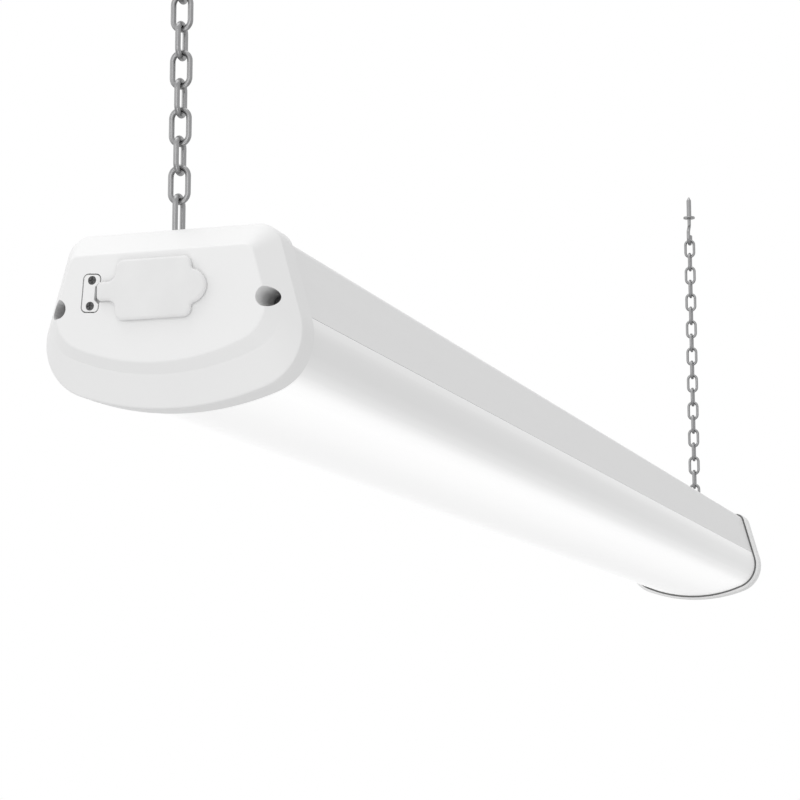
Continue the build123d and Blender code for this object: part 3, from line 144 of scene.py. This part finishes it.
class Finish:
    """A material being made: its nodes, and the sockets of its shader."""

    def __init__(self, name):
        self.material = bpy.data.materials.new(name)
        self.material.use_nodes = True
        self.tree = self.material.node_tree
        self.shader = self.tree.nodes["Principled BSDF"]

    def node(self, kind, settings=None, sockets=None, output=0):
        """Add a node, set it, feed its sockets, and give back one of its outputs."""
        made = self.tree.nodes.new(kind)
        for key, value in (settings or {}).items():
            if key == "stops":
                self._set_stops(made.color_ramp, value)
            else:
                setattr(made, key, value)
        for key, value in (sockets or {}).items():
            self._feed(made.inputs[key], value)
        return Socket(self, made.outputs[output])

    def _set_stops(self, ramp, stops):
        while len(ramp.elements) < len(stops):
            ramp.elements.new(0.5)
        for element, (place, shade) in zip(ramp.elements, stops):
            element.position = place
            element.color = shade

    def _feed(self, socket, value):
        if isinstance(value, Socket):
            self.tree.links.new(value.output, socket)
        else:
            socket.default_value = value

    def set(self, **sockets):
        """Feed the shader: base_color is Base Color, and so on."""
        for key, value in sockets.items():
            words = [word.upper() if word == "ior" else word.capitalize() for word in key.split("_")]
            self._feed(self.shader.inputs[" ".join(words)], value)

    def place(self):
        """The place on the object."""
        return self.node("ShaderNodeTexCoord", output="Object")

    def axes(self):
        """X, Y and Z of the place on the object, as numbers in metres."""
        split = self.node("ShaderNodeSeparateXYZ", sockets={0: self.place()})
        return [Socket(self, output) for output in split.output.node.outputs]

    def stretched(self, scale):
        """The place on the object, scaled on each axis."""
        return self.node("ShaderNodeMapping", sockets={"Vector": self.place(), "Scale": scale})

    def noise(self, scale, detail=2.0, vector=None):
        """Cloudy noise from 0 to 1, with about scale clouds to the metre."""
        return self.node("ShaderNodeTexNoise", sockets={
            "Vector": vector or self.place(), "Scale": scale, "Detail": detail})

    def mix(self, factor, first, second):
        """A colour between two colours; the node takes colours at 6 and 7, and gives one at 2."""
        sockets = {0: factor, 6: first, 7: second}
        return self.node("ShaderNodeMix", {"data_type": "RGBA"}, sockets, output=2)

    def ramp(self, factor, *stops):
        """A grey ramp: stops are pairs of place and level."""
        shades = [(place, (level, level, level, 1)) for place, level in stops]
        return self.node("ShaderNodeValToRGB", {"stops": shades}, {0: factor})

    def bump(self, height, depth):
        """A relief, its depth in millimetres."""
        return self.node("ShaderNodeBump", sockets={"Height": height, "Distance": depth * MM})


def colour(level, tint=(1, 1, 1), factor=1.0):
    """A colour from a grey level and a tint."""
    return tuple(level * channel * factor for channel in tint) + (1,)


def vary(middle, noise, spread):
    """A value that wanders about its middle with a noise."""
    return middle + (noise - 0.5) * spread


# Finishes
def moulded_plastic(name, level, tint=(1, 1, 1), roughness=0.42, specular=MATT):
    """Injection-moulded plastic: faint flow mottling and a fine spark-eroded grain."""
    finish = Finish(name)
    flow = finish.noise(scale=22.0)
    grain = finish.noise(scale=900.0)
    base = finish.mix(flow, colour(level, tint, 0.975), colour(level, tint, 1.015))
    finish.set(base_color=base, roughness=vary(roughness, grain, 0.1), specular_ior_level=specular,
               normal=finish.bump(grain, depth=0.012))
    return finish.material


def painted_channel():
    """White powder coat over a drawn channel: orange peel, with a faint drawing direction."""
    finish = Finish("powder_coat_white")
    peel = finish.noise(scale=420.0, vector=finish.stretched((0.35, 1, 1)))
    drawn = finish.noise(scale=60.0, detail=3.0, vector=finish.stretched((0.02, 1, 1)))
    base = finish.mix(drawn, colour(0.78), colour(0.805))
    finish.set(base_color=base, roughness=vary(0.44, peel, 0.12), specular_ior_level=MATT,
               normal=finish.bump(peel, depth=0.02))
    return finish.material


def frosted_lens():
    """Frosted diffuser lit from behind.

    Lit from behind, it shines most on the lower curve, under the boards, and weakly on the sides. A
    faint rise just under the seam is a painted highlight, and the sides' extra brightness towards the
    cord end is a painted sheen.
    """
    finish = Finish("frosted_diffuser")
    along, _, height = finish.axes()
    rise = (height - LENS_LOW.z) / (LENS_HIGH.z - LENS_LOW.z)
    reach = (along - LENS_LOW.x) / (LENS_HIGH.x - LENS_LOW.x)
    # The lit lens by height; its faint rise at the top, just under the seam, is a painted highlight
    curve = finish.ramp(rise, (0.0, 0.245), (0.07, 0.3), (0.18, 0.34), (0.25, 0.305), (0.35, 0.125),
                        (0.45, 0.035), (0.57, 0.0), (0.78, 0.005), (1.0, 0.07))
    # Painted sheen: the sides brighten towards the cord end, standing in for grazing reflection there
    side = finish.ramp(rise, (0.2, 0.0), (0.4, 0.1))
    glow_and_painted_sheen = curve + side * reach
    frost = finish.noise(scale=700.0)
    flow = finish.noise(scale=40.0, vector=finish.stretched((0.05, 1, 1)))
    base = finish.mix(flow, colour(0.80), colour(0.825))
    finish.set(base_color=base, roughness=vary(0.36, frost, 0.1), specular_ior_level=MATT,
               normal=finish.bump(frost, depth=0.01), emission_color=glow_and_painted_sheen, emission_strength=1.0)
    return finish.material


def plated_steel(name, level=0.3, roughness=0.36):
    """Zinc-plated wire and fasteners: cloudy plating with fine scuffs."""
    finish = Finish(name)
    cloud = finish.noise(scale=260.0, detail=3.0)
    scuff = finish.noise(scale=1400.0, vector=finish.stretched((1, 1, 0.25)))
    tint = (1, 1, 1.01)
    base = finish.mix(cloud, colour(level, tint, 0.86), colour(level, tint, 1.1))
    finish.set(base_color=base, metallic=1.0, roughness=vary(roughness, cloud, 0.2),
               normal=finish.bump(scuff, depth=0.01))
    return finish.material


def soft_rubber(name, level, tint=(1, 1, 1), roughness=0.6):
    """Moulded rubber: matt, with a powdery bloom."""
    finish = Finish(name)
    bloom = finish.noise(scale=60.0, detail=3.0)
    grain = finish.noise(scale=700.0)
    base = finish.mix(bloom, colour(level, tint, 0.94), colour(level, tint, 1.06))
    finish.set(base_color=base, roughness=vary(roughness, grain, 0.12), specular_ior_level=MATT,
               normal=finish.bump(grain, depth=0.015))
    return finish.material


def bare_metal(name, level, tint=(1, 1, 1), roughness=0.38):
    """Extruded or drawn metal: lines along its length."""
    finish = Finish(name)
    lines = finish.noise(scale=380.0, detail=3.0, vector=finish.stretched((0.03, 1, 1)))
    base = finish.mix(lines, colour(level, tint, 0.88), colour(level, tint, 1.06))
    finish.set(base_color=base, metallic=1.0, roughness=vary(roughness, lines, 0.2),
               normal=finish.bump(lines, depth=0.012))
    return finish.material


def circuit_board(name, level, tint):
    """Solder mask over copper: broad pours and thin tracks show through."""
    finish = Finish(name)
    tracks = finish.node("ShaderNodeTexBrick", {"offset": 0.5}, {
        "Vector": finish.place(), "Scale": 260.0, "Mortar Size": 0.03,
        "Color1": colour(1.0), "Color2": colour(0.9), "Mortar": colour(0.6)}, output="Fac")
    pour = finish.noise(scale=90.0)
    base = finish.mix(tracks * 0.35 + pour * 0.4, colour(level, tint, 1.05), colour(level, tint, 0.8))
    finish.set(base_color=base, roughness=0.3 + pour * 0.15, normal=finish.bump(tracks, depth=0.03))
    return finish.material


def phosphor_chip():
    """The yellow window of a light-emitting chip."""
    finish = Finish("phosphor_yellow")
    speck = finish.noise(scale=2500.0)
    base = finish.mix(speck, (0.9, 0.68, 0.12, 1), (0.98, 0.83, 0.3, 1))
    finish.set(base_color=base, roughness=0.25 + speck * 0.2, normal=finish.bump(speck, depth=0.01))
    return finish.material


FINISHES = {
    "steel": plated_steel("zinc_plated_steel"),
    "housing_white": painted_channel(),
    "lens_frosted": frosted_lens(),
    "cap_white": moulded_plastic("cap_plastic_white", 0.80),
    # Grey rubber of the seals and grommets; at the cord end the seal's dark line also stands in for
    # the shade in the seam between lens and cap, a painted shade
    "seal_black": soft_rubber("seal_rubber_and_painted_seam_shade", 0.16),
    "cover_soft": soft_rubber("cover_rubber_white", 0.74, roughness=0.52),
    "screw_dark": plated_steel("black_oxide_screw", 0.1, roughness=0.42),
    "socket_plastic": moulded_plastic("socket_plastic_white", 0.76, roughness=0.3),
    "contact_brass": bare_metal("contact_brass", 0.8, (1, 0.76, 0.36), roughness=0.28),
    "gland_black": moulded_plastic("gland_nylon_black", 0.035, roughness=0.45),
    "tray_metal": bare_metal("tray_aluminium", 0.8),
    "board_white": circuit_board("board_mask_white", 0.82, (1, 1, 1)),
    "led_yellow": phosphor_chip(),
    "connector_white": moulded_plastic("connector_nylon", 0.78, (1, 1, 0.96), roughness=0.4),
    "board_green": circuit_board("board_mask_green", 0.22, (0.15, 1, 0.4)),
    "shield_metal": bare_metal("shield_tinplate", 0.72, roughness=0.3),
    "receiver_dark": moulded_plastic("receiver_epoxy_dark", 0.02, (1, 0.8, 1), 0.18, GLOSSY),
    "sensor_clear": moulded_plastic("sensor_epoxy_clear", 0.7, (0.95, 0.98, 1), 0.12, GLOSSY),
    "driver_metal": bare_metal("driver_aluminium", 0.74, (0.98, 0.99, 1), roughness=0.42),
    "core_dark": moulded_plastic("core_ferrite", 0.08, (1, 1, 1.05), roughness=0.5),
    "capacitor_black": moulded_plastic("capacitor_sleeve", 0.05, (1, 1, 1.3), 0.28, GLOSSY),
    "wire_black": soft_rubber("wire_insulation_black", 0.03, roughness=0.45),
    "wire_white": soft_rubber("wire_insulation_white", 0.8, roughness=0.45),
    "wire_green": soft_rubber("wire_insulation_green", 0.35, (0.12, 1, 0.3), roughness=0.45),
    "wire_grey": soft_rubber("wire_insulation_grey", 0.42, roughness=0.45),
}


def dress(obj, slot):
    """Give an object its one finish."""
    obj.data.materials.clear()
    obj.data.materials.append(FINISHES[slot])


for part in frame["record"]["subparts"]:
    dress(nodes[part["node"]], part["material_slot"])


# Outlet cover and strap, one soft moulding, its strap cut across into folds
def cover_corners():
    """Corners of the cover seen from the front: place across, place up, and rounding.

    The tab's round end and the hollow beside it share a tangent, which sets their corners.
    """
    across = COVER_WIDTH / 2
    up = COVER_HEIGHT / 2
    strap = STRAP_WIDTH / 2
    turn = math.acos((TAB_ROUND + TAB_RADIUS - TAB_REACH) / (TAB_RADIUS + TAB_ROUND))
    tab_cut = TAB_RADIUS * math.tan(turn / 2)
    root_cut = TAB_ROUND * math.tan(turn / 2)
    root = tab_cut + (tab_cut + root_cut) * math.cos(turn)
    upper = [
        (across + STRAP_REACH, strap - STRAP_END_CUT, 0),
        (across + STRAP_REACH - STRAP_END_CUT, strap, 0),
        (across, strap, STRAP_ROUND),
        (across, up, COVER_CORNER),
        (-across, up, COVER_CORNER),
        (-across, root, root_cut),
        (-across - TAB_REACH, tab_cut, tab_cut),
    ]
    lower = [(y, -z, rounding) for y, z, rounding in reversed(upper)]
    return upper + lower


def lies_at(item, x):
    """Whether an edge or a face lies in the plane X = x."""
    return all(abs(vert.co.x - x) < SAME_PLANE for vert in item.verts)


def flat_faces(shape, x, low=-math.inf, high=math.inf):
    """Faces that lie in the plane X = x, with their middles between two places across."""
    return [face for face in shape.faces
            if lies_at(face, x) and low < face.calc_center_median().y < high]


def with_parts(faces):
    """Faces with their edges and corners, each once."""
    parts = list(faces)
    for face in faces:
        parts += face.edges[:]
        parts += face.verts[:]
    return list(dict.fromkeys(parts))


def draw_out(shape, geom, distance):
    """Draw faces out along X, with walls behind them."""
    made = bmesh.ops.extrude_face_region(shape, geom=geom)["geom"]
    moved = [item for item in made if isinstance(item, bmesh.types.BMVert)]
    bmesh.ops.translate(shape, verts=moved, vec=(distance, 0, 0))


def push(shape, faces, distance):
    """Move faces along X and leave nothing where they were."""
    draw_out(shape, with_parts(faces), distance)


def cut(shape, faces, place, normal):
    """Cut some faces along a plane."""
    bmesh.ops.bisect_plane(shape, geom=with_parts(faces), plane_co=place, plane_no=normal)


def round_off(shape, geom, radius, steps, affect="EDGES"):
    """Round edges, or the corners of a flat outline."""
    bmesh.ops.bevel(shape, geom=geom, offset=radius, affect=affect, segments=steps,
                    profile=0.5, material=-1)


def cover_blank():
    """The outline with its corners rounded, as thick as the strap, with a soft front edge."""
    shape = bmesh.new()
    corners = [(shape.verts.new((0, y, z)), rounding) for y, z, rounding in cover_corners()]
    shape.faces.new([vert for vert, _ in corners])
    for vert, rounding in corners:
        if rounding:
            round_off(shape, [vert], rounding, CORNER_STEPS, affect="VERTICES")
    bmesh.ops.remove_doubles(shape, verts=shape.verts, dist=SAME_POINT)
    # Given without its edges, the drawn face also stays where it was, as the front
    draw_out(shape, shape.faces[:], STRAP_THICKNESS)
    rim = [edge for edge in shape.edges if lies_at(edge, 0)]
    round_off(shape, rim, COVER_EDGE, EDGE_STEPS)
    return shape


def sink_pocket(shape, root):
    """Hollow the flap's back inside its rim."""
    across = COVER_WIDTH / 2 - COVER_RIM
    up = COVER_HEIGHT / 2 - COVER_RIM
    for side in (-1, 1):
        cut(shape, flat_faces(shape, COVER_THICKNESS, high=root), (0, side * across, 0), (0, 1, 0))
        cut(shape, flat_faces(shape, COVER_THICKNESS, high=root), (0, 0, side * up), (0, 0, 1))
    pocket = [face for face in flat_faces(shape, COVER_THICKNESS, -across, across)
              if abs(face.calc_center_median().z) < up]
    push(shape, pocket, -COVER_POCKET)


def finish_piece(name, shape, slot):
    """Turn a shape into an object with its finish."""
    bmesh.ops.recalc_face_normals(shape, faces=shape.faces)
    mesh = bpy.data.meshes.new(name)
    shape.to_mesh(mesh)
    shape.free()
    for polygon in mesh.polygons:
        polygon.use_smooth = True
    mesh.set_sharp_from_angle(angle=SMOOTH_ANGLE)
    piece = bpy.data.objects.new(name, mesh)
    bpy.context.scene.collection.objects.link(piece)
    dress(piece, slot)
    return piece


def link_cover():
    """The flap, its tab and its strap, drawn flat from the front and then given depth."""
    low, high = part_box("outlet_cover")
    centre = Vector((low.x, low.y + (TAB_REACH + COVER_WIDTH / 2) * MM, (low.z + high.z) / 2))
    across = COVER_WIDTH / 2
    root = across + FOLD_START
    hem = across + STRAP_REACH - STRAP_HEM

    shape = cover_blank()
    for fold in range(STRAP_FOLDS + 1):
        cut(shape, shape.faces[:], (0, root + (hem - root) * fold / STRAP_FOLDS, 0), (0, 1, 0))
    push(shape, flat_faces(shape, STRAP_THICKNESS, high=root), COVER_THICKNESS - STRAP_THICKNESS)
    push(shape, flat_faces(shape, STRAP_THICKNESS, low=hem), STRAP_DEPTH)
    shape.normal_update()
    back_rim = [edge for edge in shape.edges
                if edge.calc_face_angle(0) > CORNER_ANGLE and lies_at(edge, COVER_THICKNESS)
                and all(vert.co.y < across + SAME_POINT for vert in edge.verts)]
    round_off(shape, back_rim, COVER_BACK_EDGE, BACK_EDGE_STEPS)
    sink_pocket(shape, root)
    placed = Matrix.Translation(centre) @ Matrix.Scale(MM, 4)
    bmesh.ops.transform(shape, matrix=placed, verts=shape.verts)

    piece = finish_piece("link_cover", shape, "cover_soft")
    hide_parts("outlet_cover", "cover_strap")
    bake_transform(piece)


link_cover()


# Stage
def stage_floor():
    """A plain pale floor, far enough down to leave room for views from below."""
    mesh = bpy.data.meshes.new("floor")
    shape = bmesh.new()
    bmesh.ops.create_grid(shape, x_segments=1, y_segments=1, size=FLOOR_SIZE / 2)
    bmesh.ops.translate(shape, verts=shape.verts, vec=(0, 0, FLOOR_HEIGHT))
    shape.to_mesh(mesh)
    shape.free()
    floor = bpy.data.objects.new("floor", mesh)
    bpy.context.scene.collection.objects.link(floor)
    finish = Finish("pale_floor")
    speck = finish.noise(scale=6.0, detail=3.0)
    base = finish.mix(speck, colour(0.84), colour(0.87))
    finish.set(base_color=base, roughness=0.8)
    mesh.materials.append(finish.material)


def soft_light(name, place, aim, size, power):
    """A square soft lamp that looks at a point."""
    data = bpy.data.lights.new(name, "AREA")
    data.size = size
    data.energy = power
    lamp = bpy.data.objects.new(name, data)
    lamp.location = place
    lamp.rotation_euler = (Vector(aim) - Vector(place)).to_track_quat("-Z", "Y").to_euler()
    bpy.context.scene.collection.objects.link(lamp)


def studio_world(level):
    """Even light from all round; seen directly, in a reflection or through glass, it is white."""
    world = bpy.data.worlds.new("studio")
    bpy.context.scene.world = world
    world.use_nodes = True
    tree = world.node_tree
    background = tree.nodes["Background"]
    background.inputs["Color"].default_value = (1, 1, 1, 1)
    path = tree.nodes.new("ShaderNodeLightPath")
    seen = path.outputs["Is Camera Ray"]
    for ray in ("Is Glossy Ray", "Is Transmission Ray"):
        either = tree.nodes.new("ShaderNodeMath")
        either.operation = "MAXIMUM"
        tree.links.new(seen, either.inputs[0])
        tree.links.new(path.outputs[ray], either.inputs[1])
        seen = either.outputs[0]
    strength = tree.nodes.new("ShaderNodeMapRange")
    strength.inputs["To Min"].default_value = level
    strength.inputs["To Max"].default_value = 1.0
    tree.links.new(seen, strength.inputs["Value"])
    tree.links.new(strength.outputs[0], background.inputs["Strength"])


def make_camera():
    """The photograph's viewpoint."""
    data = bpy.data.cameras.new("camera")
    data.lens = CAMERA_LENS
    data.clip_end = CAMERA_REACH
    camera = bpy.data.objects.new("camera", data)
    camera.location = CAMERA_PLACE
    camera.rotation_euler = (math.pi / 2 + CAMERA_PITCH, 0, CAMERA_YAW - math.pi / 2)
    bpy.context.scene.collection.objects.link(camera)
    bpy.context.scene.camera = camera


stage_floor()
studio_world(WORLD_LEVEL)
for lamp_name, lamp_settings in LAMPS.items():
    soft_light(lamp_name, *lamp_settings)
make_camera()
bpy.context.scene.view_settings.view_transform = "Standard"
